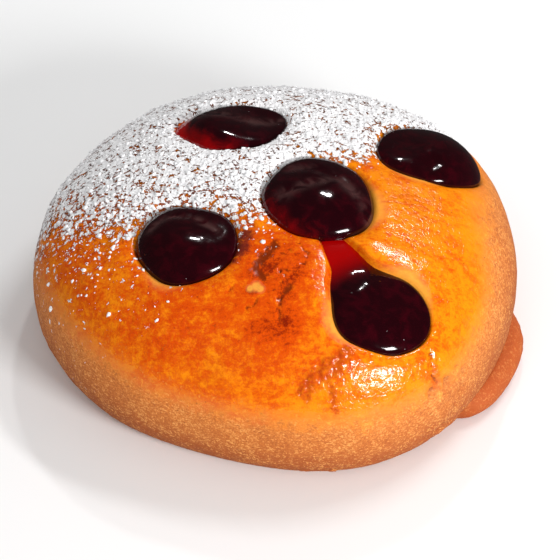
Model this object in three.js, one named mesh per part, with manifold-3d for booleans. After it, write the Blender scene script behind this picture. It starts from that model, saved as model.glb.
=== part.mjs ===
// Cherry brioche: a round bun of sweet dough, baked on a tray so that its foot is flat. Five wells
// pressed into its top hold cherry filling, a lip of dough has spread from its foot on one side, and
// clumps of sugar lie over the back and left of the crust.
// Millimetres, +Z up. The origin is on the bun's axis, at the middle of its flat foot.
// The side that faces a person who eats it is towards -Y.
import * as THREE from "three";
import { mergeVertices } from "three/addons/utils/BufferGeometryUtils.js";
import Module from "manifold-3d";

const wasm = await Module();
wasm.setup();

// Bun
const GIRTH_RADIUS = 60; // mean radius where the bun is widest
const GIRTH_HEIGHT = 13.6; // height of that widest level above the foot
const HEIGHT = 46.2; // height of the crown without its wells
const FOOT_SHARE = 0.87; // radius of the flat foot as a share of the girth
const CROWN_POWER = 2.4; // 2 would be an ellipse, and more is fuller
const GIRTH_WAVES = [
  { lobes: 2, rise: 1.0, crest: -24 },
  { lobes: 3, rise: 1.1, crest: 55 },
  { lobes: 4, rise: 0.9, crest: 29 },
  { lobes: 6, rise: 0.3, crest: -11 },
]; // swellings of the plan outline, with the angle of one crest in degrees

// Wells and their filling: the plan centre, the half sizes of an oval, the way its long side turns,
// how far the filling crowns above its rim, and for two of them where it bulges out of the oval: it has
// run out over the crust there, at the front in a tail that starts wide and ends narrow. Sides are the
// facets round a filling.
const ROUND_SIDES = 24;
const TAIL_SIDES = 40;
const BULGES = {
  back: [{ angle: 172, reach: 2.5, spread: 22 }],
  front: [
    { angle: 122.4, reach: 6.5, spread: 11.7 },
    { angle: 132, reach: 6.0, spread: 38 },
  ],
};
const PLAIN = { bulges: [], sides: ROUND_SIDES };
const RUN_BACK = { bulges: BULGES.back, sides: ROUND_SIDES };
const RUN_FRONT = { bulges: BULGES.front, sides: TAIL_SIDES };
const WELLS = {
  back: { x: -11.0, y: 22.6, long: 12.4, short: 10.2, turn: 5, crown: 2.6, ...RUN_BACK },
  left: { x: -22.1, y: -19.2, long: 12.2, short: 11.0, turn: 150, crown: 3.4, ...PLAIN },
  middle: { x: 9.4, y: -6.0, long: 14.0, short: 13.0, turn: 115, crown: 4.8, ...PLAIN },
  front: { x: 24.5, y: -38.3, long: 11.3, short: 8.7, turn: 203, crown: 2.4, ...RUN_FRONT },
  right: { x: 37.2, y: 16.0, long: 13.0, short: 11.0, turn: 15, crown: 4.4, ...PLAIN },
};
const WELL_DEPTH = 9; // of the filling below its rim
const FILM_DEPTH = 1.2; // of the filling where it bulges out of its oval
const RIM_SINK = 2.2; // how far the edge of the filling lies below the crown
const RIM_SLOPE = 0.9; // how far the dough slopes down to a rim, above the steep wall there
const RIM_SPREAD = 1.55; // where that slope starts, as a share of the filling's own reach
const FILLING_GAP = 0.3; // between filling and dough

// Lip of dough at the foot: two lobes over an arc, in plan
const LIP_INNER = 44;
const LIP_BASE = 51;
const LIP_LOBES = [
  { reach: 12, angle: -24, spread: 22, power: 4 },
  { reach: 8, angle: 7, spread: 9, power: 2 },
];
const LIP_ARC = [-52, 22];
const LIP_THICKNESS = 8;
const LIP_ROUND = 3;

// Clumps of sugar, which lie behind a line across the crown
const SUGAR_COUNT = 72;
const SUGAR_RADIUS = [0.8, 1.1];
const SUGAR_FLATNESS = 0.7; // height of a clump as a share of its width
const SUGAR_SINK = 0.25; // how far a clump's middle lies below the crust
const SUGAR_SPACING = 5;
const SUGAR_EDGE = { x: -45, y: -25, angle: 21 }; // a point on the line, and the way it runs
const SUGAR_WELL_MARGIN = 1.2; // least distance from a well, as a share of the filling's reach
const SUGAR_OUTER = 0.93; // clumps stay inside this share of the girth
const SUGAR_SEED = 7;

// Random numbers: the factor, the step and the range of a linear congruential generator
const RANDOM_FACTOR = 1664525;
const RANDOM_STEP = 1013904223;
const RANDOM_RANGE = 2 ** 32;

// Facets
const BUN_SIDES = 72;
const CROWN_RINGS = 24;
const SIDE_RINGS = 6;
const FOOT_RINGS = 3;
const FILLING_RINGS = 7;
const LIP_STEPS = 20;
const LIP_BEVEL_STEPS = 3;
const LIP_INNER_STEPS = 8;
const MERGE_DISTANCE = 1e-3;

const radians = THREE.MathUtils.degToRad;

// Radius of the girth at an angle round the axis.
function girthRadius(angle) {
  return GIRTH_WAVES.reduce(
    (radius, wave) => radius + wave.rise * Math.cos(wave.lobes * (angle - radians(wave.crest))),
    GIRTH_RADIUS,
  );
}

// Height of the crown over a plan point, without its wells.
function crownHeight(x, y) {
  const share = Math.min(1, Math.hypot(x, y) / girthRadius(Math.atan2(y, x)));
  return GIRTH_HEIGHT + (HEIGHT - GIRTH_HEIGHT) * (1 - share ** CROWN_POWER) ** (1 / CROWN_POWER);
}

// Smallest angle between two directions, in radians.
function angleBetween(a, b) {
  return Math.abs(Math.atan2(Math.sin(a - b), Math.cos(a - b)));
}

// How far a well's filling reaches from its centre, in a direction, without its bulges.
function ovalReach(well, angle) {
  const across = angle - radians(well.turn);
  return 1 / Math.hypot(Math.cos(across) / well.long, Math.sin(across) / well.short);
}

// The same, with the bulges.
function fillingReach(well, angle) {
  return well.bulges.reduce((reach, bulge) => {
    const off = angleBetween(angle, radians(bulge.angle)) / radians(bulge.spread);
    return reach + bulge.reach * Math.exp(-(off ** 2));
  }, ovalReach(well, angle));
}

// Distance of a plan point from a well's centre, as a share of the filling's reach.
function shareOfWell(well, x, y) {
  const angle = Math.atan2(y - well.y, x - well.x);
  return Math.hypot(x - well.x, y - well.y) / fillingReach(well, angle);
}

// Height of the dough over a plan point: it slopes down to each rim.
function doughHeight(x, y) {
  const level = Object.values(WELLS).reduce((left, well) => {
    const far = THREE.MathUtils.clamp((shareOfWell(well, x, y) - 1) / (RIM_SPREAD - 1), 0, 1);
    return left * (1 - (1 - far) ** 2);
  }, 1);
  return crownHeight(x, y) - RIM_SLOPE * (1 - level);
}

// A closed solid from a geometry: shared corners are merged and collapsed triangles dropped.
function solidOf(geometry) {
  const bare = geometry.clone();
  bare.deleteAttribute("normal");
  bare.deleteAttribute("uv");
  const merged = mergeVertices(bare, MERGE_DISTANCE);
  const corners = [];
  for (let i = 0; i < merged.index.count; i += 3) {
    const [a, b, c] = merged.index.array.slice(i, i + 3);
    if (a !== b && b !== c && c !== a) corners.push(a, b, c);
  }
  return new wasm.Manifold(
    new wasm.Mesh({
      numProp: 3,
      vertProperties: merged.attributes.position.array,
      triVerts: new Uint32Array(corners),
    }),
  );
}

function geometryOf(solid) {
  const { vertProperties, triVerts } = solid.getMesh();
  const geometry = new THREE.BufferGeometry();
  geometry.setAttribute("position", new THREE.BufferAttribute(vertProperties, 3));
  geometry.setIndex(new THREE.BufferAttribute(triVerts, 1));
  geometry.computeVertexNormals();
  return geometry;
}

// Moves each vertex of a geometry by a rule.
function reshape(geometry, rule) {
  const places = geometry.attributes.position;
  const point = new THREE.Vector3();
  for (let i = 0; i < places.count; i++) {
    rule(point.fromBufferAttribute(places, i));
    places.setXYZ(i, point.x, point.y, point.z);
  }
  return geometry;
}

// A body of revolution about +Z from a profile that runs from the bottom of the axis to its top.
function turned(profile, sides) {
  return new THREE.LatheGeometry(profile, sides).rotateX(Math.PI / 2);
}

// The bun without its wells: the foot, the side below the girth and the crown, with a girth of 1.
function bunProfile() {
  const points = [];
  for (let i = 0; i < FOOT_RINGS; i++) {
    points.push(new THREE.Vector2((FOOT_SHARE * i) / FOOT_RINGS, 0));
  }
  for (let i = 0; i < SIDE_RINGS; i++) {
    const turn = ((1 - i / SIDE_RINGS) * Math.PI) / 2;
    const share = FOOT_SHARE + (1 - FOOT_SHARE) * Math.cos(turn);
    points.push(new THREE.Vector2(share, GIRTH_HEIGHT * (1 - Math.sin(turn))));
  }
  for (let i = 0; i <= CROWN_RINGS; i++) {
    const turn = ((i / CROWN_RINGS) * Math.PI) / 2;
    const share = i === CROWN_RINGS ? 0 : Math.cos(turn) ** (2 / CROWN_POWER);
    const rise = Math.sin(turn) ** (2 / CROWN_POWER);
    points.push(new THREE.Vector2(share, GIRTH_HEIGHT + (HEIGHT - GIRTH_HEIGHT) * rise));
  }
  return points;
}

function bunSolid() {
  const geometry = reshape(turned(bunProfile(), BUN_SIDES), (point) => {
    const radius = girthRadius(Math.atan2(point.y, point.x));
    point.x *= radius;
    point.y *= radius;
    if (point.z > GIRTH_HEIGHT) point.z = doughHeight(point.x, point.y);
  });
  return solidOf(geometry);
}

// A filling, or the hollow that it lies in when it is grown on all sides and carried up past the crust.
// It is built about the middle of its well, at the height of the rim there.
function fillingGeometry(well, grow = 0, lift = 0) {
  const circle = [];
  for (let i = 0; i <= 2 * FILLING_RINGS; i++) {
    const turn = ((i / FILLING_RINGS - 1) * Math.PI) / 2;
    const onAxis = i === 0 || i === 2 * FILLING_RINGS;
    circle.push(new THREE.Vector2(onAxis ? 0 : Math.cos(turn), Math.sin(turn)));
  }
  const rim = crownHeight(well.x, well.y) - RIM_SINK;
  return reshape(turned(circle, well.sides), (point) => {
    const angle = Math.atan2(point.y, point.x);
    const share = Math.hypot(point.x, point.y);
    const reach = fillingReach(well, angle);
    point.x = share * (reach + grow) * Math.cos(angle);
    point.y = share * (reach + grow) * Math.sin(angle);
    const offset = Math.hypot(point.x, point.y) / (ovalReach(well, angle) + grow);
    const bowl = FILM_DEPTH + (WELL_DEPTH - FILM_DEPTH) * Math.sqrt(Math.max(0, 1 - offset ** 2));
    const rise = point.z > 0 ? (well.crown + lift) * point.z : (bowl + grow) * point.z;
    point.z = crownHeight(well.x + point.x, well.y + point.y) - RIM_SINK - rim + rise;
  });
}

function placeOf(well) {
  return new THREE.Vector3(well.x, well.y, crownHeight(well.x, well.y) - RIM_SINK);
}

// The lip: a flat tongue with round edges that lies on the tray and runs in under the bun.
function lipSolid() {
  const outline = new THREE.Shape();
  const [from, to] = LIP_ARC.map(radians);
  const reachAt = (angle) =>
    LIP_LOBES.reduce((reach, lobe) => {
      const off = Math.abs(angle - radians(lobe.angle)) / radians(lobe.spread);
      return reach + lobe.reach * Math.exp(-(off ** lobe.power));
    }, LIP_BASE);
  for (let i = 0; i <= LIP_STEPS; i++) {
    const angle = from + ((to - from) * i) / LIP_STEPS;
    const reach = reachAt(angle);
    if (i === 0) outline.moveTo(reach * Math.cos(angle), reach * Math.sin(angle));
    else outline.lineTo(reach * Math.cos(angle), reach * Math.sin(angle));
  }
  outline.absarc(0, 0, LIP_INNER, to, from, true);
  const geometry = new THREE.ExtrudeGeometry(outline, {
    depth: LIP_THICKNESS - 2 * LIP_ROUND,
    bevelThickness: LIP_ROUND,
    bevelSize: LIP_ROUND,
    bevelOffset: -LIP_ROUND,
    bevelSegments: LIP_BEVEL_STEPS,
    curveSegments: LIP_INNER_STEPS,
  });
  return solidOf(geometry.translate(0, 0, LIP_ROUND));
}

// Random numbers from 0 to 1 that come out alike each time.
function seededRandom(seed) {
  let state = seed;
  return () => {
    state = (state * RANDOM_FACTOR + RANDOM_STEP) % RANDOM_RANGE;
    return state / RANDOM_RANGE;
  };
}

// Whether a plan point of the crown is dusted: behind the line, off the steep edge and clear of the wells.
function isDusted(x, y) {
  const way = radians(SUGAR_EDGE.angle);
  const behind = (y - SUGAR_EDGE.y) * Math.cos(way) - (x - SUGAR_EDGE.x) * Math.sin(way);
  const share = Math.hypot(x, y) / girthRadius(Math.atan2(y, x));
  const clear = Object.values(WELLS).every((well) => shareOfWell(well, x, y) > SUGAR_WELL_MARGIN);
  return behind > 0 && share < SUGAR_OUTER && clear;
}

function sugarClumps() {
  const random = seededRandom(SUGAR_SEED);
  const clumps = [];
  while (clumps.length < SUGAR_COUNT) {
    const x = (2 * random() - 1) * GIRTH_RADIUS;
    const y = (2 * random() - 1) * GIRTH_RADIUS;
    const apart = clumps.every((clump) => Math.hypot(clump.x - x, clump.y - y) > SUGAR_SPACING);
    if (!apart || !isDusted(x, y)) continue;
    const radius = THREE.MathUtils.lerp(...SUGAR_RADIUS, random());
    const solid = new THREE.IcosahedronGeometry(radius)
      .rotateZ(random() * Math.PI)
      .scale(1, 1, SUGAR_FLATNESS)
      .translate(x, y, doughHeight(x, y) - SUGAR_SINK);
    clumps.push({ x, y, solid: solidOf(solid) });
  }
  return clumps;
}

function brioche() {
  let dough = bunSolid().add(lipSolid());
  for (const clump of sugarClumps()) dough = dough.add(clump.solid);
  for (const well of Object.values(WELLS)) {
    const hollow = fillingGeometry(well, FILLING_GAP, HEIGHT).translate(...placeOf(well));
    dough = dough.subtract(solidOf(hollow));
  }
  const crust = new THREE.MeshStandardMaterial({ color: 0xe8892f, roughness: 0.45, metalness: 0 });
  const mesh = new THREE.Mesh(geometryOf(dough), crust);
  mesh.name = "brioche";
  return mesh;
}

function filling(name, well) {
  const jelly = new THREE.MeshStandardMaterial({ color: 0x3a0308, roughness: 0.08, metalness: 0 });
  const mesh = new THREE.Mesh(geometryOf(solidOf(fillingGeometry(well))), jelly);
  mesh.position.copy(placeOf(well));
  mesh.name = `filling_${name}`;
  return mesh;
}

const part = new THREE.Group();
part.add(brioche());
for (const [name, well] of Object.entries(WELLS)) part.add(filling(name, well));

export default part;
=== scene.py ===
"""Cherry brioche: the crust, the cherry filling and the dusting of sugar, modelled over the solid frame.

Everything is in metres, +Z up. The origin is on the bun's axis, at the middle of its flat foot.
"""
import math
from collections import namedtuple

import bmesh
import bpy
import numpy as np
from bpy.props import FloatProperty, FloatVectorProperty, IntProperty, PointerProperty
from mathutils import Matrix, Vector, noise
from mathutils.bvhtree import BVHTree


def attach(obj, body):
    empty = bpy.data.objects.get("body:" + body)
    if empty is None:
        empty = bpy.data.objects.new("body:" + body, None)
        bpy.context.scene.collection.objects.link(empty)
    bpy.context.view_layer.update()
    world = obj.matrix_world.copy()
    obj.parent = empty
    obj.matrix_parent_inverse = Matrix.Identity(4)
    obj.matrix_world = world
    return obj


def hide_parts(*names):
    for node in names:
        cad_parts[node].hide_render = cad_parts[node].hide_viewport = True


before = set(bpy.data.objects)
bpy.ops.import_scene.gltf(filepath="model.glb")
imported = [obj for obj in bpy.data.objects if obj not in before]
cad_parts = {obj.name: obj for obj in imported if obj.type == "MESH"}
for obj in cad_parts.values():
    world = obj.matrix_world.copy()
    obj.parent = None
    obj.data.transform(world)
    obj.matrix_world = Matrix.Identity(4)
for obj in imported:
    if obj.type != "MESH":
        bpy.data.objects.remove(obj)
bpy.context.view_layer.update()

bl_info = {
    "name": "Cherry brioche",
    "version": (1, 0, 0),
    "blender": (4, 5, 0),
    "location": "3D View > Sidebar > Brioche",
    "description": "Models the crust, filling and sugar of a cherry brioche over its solid frame",
    "category": "Add Mesh",
}

MM = 0.001
BODY = "root"

# Swellings of the bun's plan outline: the lobes round it, their rise in mm and the angle of one crest
GIRTH_WAVES = ((2, 1.0, -24), (3, 1.1, 55), (4, 0.9, 29), (6, 0.3, -11))

# Wells of filling: plan centre and half sizes in mm, turn in degrees, crown in mm, and roundness of the
# edge, where 1 is a dome and less a flatter pool. Level is how far the top levels out on the slope, and lean
# its further slope along x and y. Pale holds the directions of the rim where the dough is stretched, and
# glow is how much light comes through. Bulges add to the oval in a direction. A tail is where filling has
# run out over the crust: its direction, and how far along it from the centre the filling turns from dark
# to red. Shoulder is the direction where the dough stands up to the rim with no slope.
Bulge = namedtuple("Bulge", "angle reach spread")
Tail = namedtuple("Tail", "angle dark_end red_start")
WELL_FIELDS = "node x y long short turn crown edge level lean pale glow bulges tail shoulder"
Well = namedtuple("Well", WELL_FIELDS, defaults=((), None, None))
WELLS = (
    Well(
        "filling_back", -11.0, 22.6, 12.4, 10.2, 5, crown=2.6, edge=0.7, level=0.6, lean=(-0.255, -0.235),
        pale=(-60,), glow=0.8, bulges=(Bulge(172, 2.5, 22),), tail=Tail(172, 10.5, 13.5),
    ),
    Well(
        "filling_left", -22.1, -19.2, 12.2, 11.0, 150, crown=4.2, edge=1.0, level=0.7, lean=(-0.094, -0.102),
        pale=(-120,), glow=0.1,
    ),
    Well(
        "filling_middle", 9.4, -6.0, 14.0, 13.0, 115, crown=4.8, edge=0.85, level=0.35, lean=(0.028, -0.097),
        pale=(-10,), glow=0.5,
    ),
    Well(
        "filling_front", 24.5, -38.3, 11.3, 8.7, 203, crown=2.4, edge=0.6, level=0.0, lean=(-0.13, 0.0),
        pale=(205, 50), glow=0.05, bulges=(Bulge(122.4, 10.8, 11.7), Bulge(132, 6.0, 38)),
        tail=Tail(122, 9, 18), shoulder=85,
    ),
    Well(
        "filling_right", 37.2, 16.0, 13.0, 11.0, 15, crown=4.4, edge=0.7, level=0.7, lean=(0.0, -0.15),
        pale=(-110,), glow=0.25,
    ),
)
RIM_WAVES = ((3, 0.02), (5, 0.015))  # lobes round a well's outline, and their rise as a share of its reach
WELL_WALL = 0.1  # width of a well's steep wall as a share of its reach
SHOULDER_SPREAD = 1.1  # half width of a shoulder, in radians
PALE_WIDTH = (0.05, 0.2)  # half width of the stretched rim all round, and what a pale direction adds
PALE_LEVEL = (0.15, 0.85)  # how pale that rim is, in the same way
PALE_SPREAD = (0.6, 0.7)  # how far round the rim a pale direction adds to each, in radians

# Folds in the filling: plan points, half width and depth in mm, and how strongly grey is painted over them:
# the grey of wrinkled skin, and a painted soft reflection
Fold = namedtuple("Fold", "node points width depth skin")
FOLDS = (
    Fold("filling_back", ((-19, 25), (-13.6, 26), (-6, 23.5), (0, 24.5)), 1.6, 0.2, 1),
    Fold("filling_left", ((-31, -17), (-27, -13), (-21, -13), (-15, -18)), 1.2, 0.3, 1),
    Fold("filling_middle", ((3, 2), (8, 2), (13, -1), (17, -6), (21, -10), (22, -14)), 1.7, 0.5, 1),
    Fold("filling_middle", ((1, -8), (6, -5), (12, -3)), 2.0, 0.3, 1),
    Fold("filling_right", ((37.1, 8.5), (38.5, 9.9)), 2.6, 1.1, 0),
)

# Lobes of the lip of dough at the foot: reach in mm, angle, spread and power
LIP_LOBES = ((12, -24, 22, 4), (8, 7, 9, 2))

# Height of the egg wash's lower edge round the bun: rise in mm over its mean, angle and spread in degrees
GLAZE_SWELLS = ((16, 0, 40), (6, -158, 42), (2.5, -85, 35))

# Cracks in the crust: plan points in mm, half width and depth in mm, and how dark they are inside
Crack = namedtuple("Crack", "points width depth dark")
CRACKS = (
    Crack(((-1.2, -22.5), (-2.7, -25.1), (-4.7, -27.3), (-5.0, -30.0), (-3.9, -31.9)), 1.35, 0.3, 1.0),
    Crack(((-1.2, -26.6), (0.9, -25.8), (2.8, -24.4)), 0.45, 0.25, 0.8),
    Crack(((4.2, -22.4), (7.6, -25.9), (6.3, -28.4), (2.5, -29.6), (0.5, -30.3)), 0.4, 0.35, 0.8),
    Crack(((0.5, -30.3), (2.2, -32.3), (1.9, -35.6), (0.2, -37.4)), 0.5, 0.4, 0.9),
    Crack(((0.2, -37.4), (0.0, -39.9), (0.5, -42.4)), 0.9, 0.4, 0.9),
    Crack(((-5.0, -37.1), (-7.3, -39.3)), 0.6, 0.3, 0.9),
    Crack(((-12.0, -35.3), (-10.4, -33.5), (-8.3, -32.8)), 0.35, 0.4, 0.6),
    Crack(((34.7, -50.9), (37.9, -47.8), (39.4, -46.2)), 0.4, 0.7, 0.8),
    Crack(((39.4, -46.2), (42.1, -43.8), (44.3, -41.0)), 0.4, 0.7, 0.8),
    Crack(((35.0, -44.5), (36.0, -46.5), (37.1, -48.1)), 0.7, 0.6, 0.7),
)

# Strips where the skin has blistered: plan points and half width in mm
Blister = namedtuple("Blister", "points width")
BLISTERS = (
    Blister(((16.2, -48.8), (12.9, -51.6), (10.0, -53.0), (7.6, -54.2), (6.1, -55.6)), 1.9),
    Blister(((12.3, -55.5), (13.0, -57.3)), 0.9),
)

# Zones where the skin has puckered into lobes: plan centre, half sizes and height of the lobes in mm
Pucker = namedtuple("Pucker", "x y wide deep height")
PUCKERS = (
    Pucker(0.6, -31.0, 9.5, 8.5, 0.25),
    Pucker(39.0, -46.5, 3.5, 3.5, 0.7),
)

# Low rolls of dough: plan points of the crest, half width and height in mm
Roll = namedtuple("Roll", "points width height")
ROLLS = (Roll(((21.9, -20.9), (25.4, -21.7), (30.7, -22.5), (34.9, -23.3)), 3.0, 0.45),)

# Strips where the glaze has wrinkled finely: plan points and half width in mm
Wrinkle = namedtuple("Wrinkle", "points width")
WRINKLES = (
    Wrinkle(((21.5, -23.0), (25.0, -23.8), (30.3, -24.6), (34.5, -25.4)), 2.2),
    Wrinkle(((35.8, -27.8), (38.0, -28.4)), 1.4),
)

# Bits of pale dough where the skin has torn off: plan centre and radius in mm, and how pale they are
TORN = ((-5.4, -34.2, 1.3), (-4.4, -34.9, 1.0), (-6.8, -34.6, 0.9), (38.5, -48.6, 1.0))
TORN_LEVEL = 1.3

# Spots of crust that thin filling has stained: plan centre and radius in mm, and strength
STAINED = ((-9.6, -23.0, 3.0, 1.0), (-8.0, -19.4, 2.4, 0.9), (-11.0, -26.4, 1.8, 0.7))

# Darker spots of the crust: plan centre and radius in mm, and strength. Most have baked darker; the two at
# (-0.5, -44) and (3.7, -44.7) are painted shade of shallow dents.
TOASTED_AND_SHADED = (
    (-4, -36, 20, 0.35), (1, -30, 9, 0.8), (-0.5, -44, 5, 0.6), (3.7, -44.7, 4, 0.5),
    (36.3, -47.2, 2.6, 0.6), (-30, -42, 12, 0.15),
)
TOAST_AT = (-8 * MM, 18 * MM)  # the crust is darker on the left of these places along x
TOAST = (0.25, 0.37)  # how dark it is on the right, and what the left adds

# Outline in mm of the crust that is dusted with sugar, seen from above, and the share of the crust that the
# sugar hides at distances in mm outside and inside it. The fringe scales those distances: it is wide at the
# left and at the back.
DUSTED = (
    (-62, 6), (-53, 2), (-44, -5), (-36, -9), (-19, -10), (-9, -11), (-5, -11), (0, -5), (8, 7), (14, 10),
    (20, 8), (23, 12), (24, 20), (30, 25), (46, 27), (52, 38), (40, 56), (0, 68), (-40, 56), (-66, 24),
)
COVER_AT = (-34, -26, -19, -14, -9, -5, 0, 8, 18)
COVER = (0, 0.03, 0.11, 0.22, 0.38, 0.54, 0.69, 0.8, 0.88)
FRINGE_AT = (-30 * MM, 0, 25 * MM)
FRINGE = (1, 0.45, 0.2)
BACK_FRINGE_AT = (26 * MM, 42 * MM)
BACK_FRINGE = 0.8
SUGAR_MARGIN = 1.02  # where the sugar starts beside a well, as a share of its reach


# Sizes and colours

def linear(level):
    """Linear value of an 8-bit sRGB level."""
    level /= 255
    return level / 12.92 if level <= 0.04045 else ((level + 0.055) / 1.055) ** 2.4


def number(name, description, default, **options):
    """A value that a user can change."""
    return FloatProperty(name=name, description=description, default=default, **options)


def length(name, description, millimetres):
    """A size, given in millimetres."""
    return number(name, description, millimetres * MM, unit="LENGTH", precision=5)


def share(name, description, default):
    """A ratio."""
    return number(name, description, default, subtype="FACTOR")


def wattage(name, description, watts):
    """The power of a light."""
    return number(name, description, watts, unit="POWER")


def whole(name, description, default):
    """A whole number."""
    return IntProperty(name=name, description=description, default=default)


def colour(name, description, *levels):
    """A colour, given in 8-bit sRGB levels."""
    options = {"default": [linear(level) for level in levels], "subtype": "COLOR", "min": 0, "max": 1}
    return FloatVectorProperty(name=name, description=description, **options)


class BriocheDough(bpy.types.PropertyGroup):
    """Sizes and colours of the baked dough."""

    girth_radius: length("Girth radius", "Mean radius where the bun is widest", 60)
    girth_height: length("Girth height", "Height of the widest level above the foot", 13.6)
    height: length("Height", "Height of the crown without its wells", 46.2)
    foot_share: share("Foot", "Radius of the flat foot as a share of the girth", 0.87)
    crown_power: number("Fullness", "2 is an ellipse, more is fuller", 2.4)
    rim_sink: length("Rim sink", "How far the dough drops to the edge of the filling", 2.2)
    wall_part: share("Wall part", "Steep part of that drop", 0.6)
    wall_end: share("Wall end", "Where the steep part starts, as a share of the filling's reach", 1.13)
    slope_end: share("Slope end", "Where the gentle part starts, as a share of the filling's reach", 1.55)
    puff: length("Puff", "How far the dough swells beside a rim", 0.3)
    puff_at: share("Puff place", "Where it swells most, as a share of the filling's reach", 1.3)
    puff_wide: share("Puff width", "Half width of the swelling as a share of the filling's reach", 0.25)
    well_depth: length("Well depth", "Depth of a well below its rim", 9)
    film_depth: length("Film depth", "Depth of a well under a tail of filling", 1.2)
    lip_base: length("Lip base", "Least reach of the lip from the axis", 51)
    lip_thickness: length("Lip thickness", "Height of the lip of dough at the foot", 8)
    crevice: length("Crevice", "How far the lip's top runs in under the bun", 1.4)
    glaze_edge: length("Glaze edge", "Mean height of the lower edge of the egg wash", 17.5)
    gold: colour("Gold", "Lightly baked egg wash", 247, 140, 8)
    orange: colour("Orange", "Well baked egg wash", 216, 74, 0)
    scorch: colour("Scorch", "Darkest baked egg wash", 136, 28, 0)
    pale: colour("Pale", "Stretched dough at rims, and flecks", 254, 186, 62)
    tan: colour("Tan", "Dough of the side without egg wash", 212, 120, 44)
    brown: colour("Brown", "Dough of the side near the tray", 176, 86, 28)
    crumb: colour("Crumb", "Light crumbs of the side", 242, 172, 92)
    lip: colour("Lip", "Dough of the lip", 188, 80, 14)
    # Also the colour of the painted shade in the creases of puckers
    crack: colour("Crack", "Inside of a crack", 122, 40, 4)
    blister: colour("Blister", "Skin of a blister", 196, 70, 14)
    stain: colour("Stain", "Crust stained by thin filling", 84, 22, 24)
    powder: colour("Powder", "Film of fine sugar on the crust", 254, 253, 254)
    # Painted shade: the sugar film grey between its grains
    shaded_powder: colour("Dim powder", "Film of fine sugar between its grains", 158, 148, 150)
    shadow: colour("Shadow", "Crust in the gaps of the sugar", 34, 5, 9)


class BriocheFilling(bpy.types.PropertyGroup):
    """Sizes and colours of the cherry filling."""

    overlap: length("Overlap", "How far the filling lies over the rim of its well", 0.4)
    bulge: length("Bulge", "Height of the filling's widest level above the rim", 0.35)
    film: length("Film", "Thickness of a tail above the rim", 0.5)
    lumps: length("Lumps", "Height of the lumps of fruit", 0.15)
    tilt: share("Tilt", "How far its edge levels out on the slope", 0.15)
    deep: colour("Deep", "Thick filling", 32, 0, 5)
    fruit: colour("Fruit", "Bits of fruit in the filling", 50, 0, 8)
    # Red is also painted as a glow where light would come through the filling's edges
    red: colour("Red", "Thin filling that light comes through", 168, 0, 0)
    # Painted over the folds: partly the grey of wrinkled skin, partly a painted soft reflection
    skin: colour("Skin", "Wrinkled skin in the folds of the filling", 104, 70, 68)


class BriocheSugar(bpy.types.PropertyGroup):
    """Sizes and colours of the dusting of sugar."""

    clump_radius: length("Clump radius", "Mean radius of a clump", 0.4)
    clump_spacing: length("Clump spacing", "Least distance between clumps", 0.5)
    clump_tries: whole("Clump tries", "Places tried for clumps", 5500)
    flatness: share("Flatness", "Thickness of a clump as a share of its width", 0.5)
    grain_radius: length("Grain radius", "Mean radius of a loose grain", 0.15)
    grain_tries: whole("Grain tries", "Places tried for grains", 8000)
    white: colour("White", "Sugar", 253, 253, 254)


class BriocheStage(bpy.types.PropertyGroup):
    """Floor, lights and camera."""

    floor: colour("Floor", "Pale plain floor", 244, 244, 244)
    floor_width: length("Floor width", "Side of the floor", 6000)
    key_power: wattage("Key power", "Power of the key light", 0.8)
    strip_power: wattage("Strip power", "Power of the strip light", 1.9)
    fill_power: wattage("Fill power", "Power of the fill light", 2.4)
    front_power: wattage("Front power", "Power of the front light", 7.4)
    sky: number("Sky", "Strength of the light from all round", 0.38)
    gleam: number("Gleam", "Strength of its reflections", 0.05)
    elevation: number("Elevation", "Camera above the table", math.radians(43), subtype="ANGLE")
    distance: length("Distance", "Camera to target", 700)
    target_x: length("Target x", "Point the camera looks at", 0.18)
    target_z: length("Target z", "Point the camera looks at", 12.03)
    focal_length: number("Focal length", "On a 36 mm sensor, in mm", 179.4)


# Form of the bun

def smoothstep(values, low, high):
    """0 below low, 1 above high, and smooth between."""
    part = np.clip((values - low) / (high - low), 0, 1)
    return part * part * (3 - 2 * part)


def bell(values, spread):
    """1 at 0, falling off on both sides."""
    return np.exp(-((values / spread) ** 2))


def turn_between(angle, degrees):
    """Smallest angle from a direction given in degrees, with its sign."""
    off = angle - math.radians(degrees)
    return np.arctan2(np.sin(off), np.cos(off))


def girth(dough, angle):
    """Radius of the girth at an angle round the axis."""
    waves = (rise * MM * np.cos(lobes * turn_between(angle, crest)) for lobes, rise, crest in GIRTH_WAVES)
    return dough.girth_radius + sum(waves)


def crown_height(dough, x, y):
    """Height of the crown over plan points, without its wells."""
    part = np.minimum(1, np.hypot(x, y) / girth(dough, np.arctan2(y, x)))
    power = dough.crown_power
    rise = dough.height - dough.girth_height
    return dough.girth_height + rise * (1 - part ** power) ** (1 / power)


def oval_reach(well, angle):
    """How far a well reaches from its centre in a direction, without its bulges."""
    across = turn_between(angle, well.turn)
    return MM / np.hypot(np.cos(across) / well.long, np.sin(across) / well.short)


def well_reach(well, angle):
    """How far a well reaches from its centre in a direction."""
    uneven = 1
    for (lobes, rise), phase in zip(RIM_WAVES, (well.turn, -well.x)):
        uneven = uneven + rise * np.cos(lobes * angle + phase)
    reach = oval_reach(well, angle) * uneven
    for bulge in well.bulges:
        off = turn_between(angle, bulge.angle)
        reach = reach + bulge.reach * MM * bell(off, math.radians(bulge.spread))
    return reach


def from_well(well, x, y):
    """Direction and distance of plan points from a well's centre."""
    x = x - well.x * MM
    y = y - well.y * MM
    return np.arctan2(y, x), np.hypot(x, y)


def well_share(well, x, y):
    """Distance of plan points from a well's centre as a share of its reach, and of its oval's."""
    angle, away = from_well(well, x, y)
    return away / well_reach(well, angle), away / oval_reach(well, angle)


def nearest_well(x, y):
    """The least share over all the wells."""
    return np.min([well_share(well, x, y)[0] for well in WELLS], axis=0)


def fall(part, end):
    """1 at a rim and 0 at an end, both shares of the filling's reach, and steepest at the rim."""
    return np.clip((end - part) / (end - 1), 0, 1) ** 2


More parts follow.
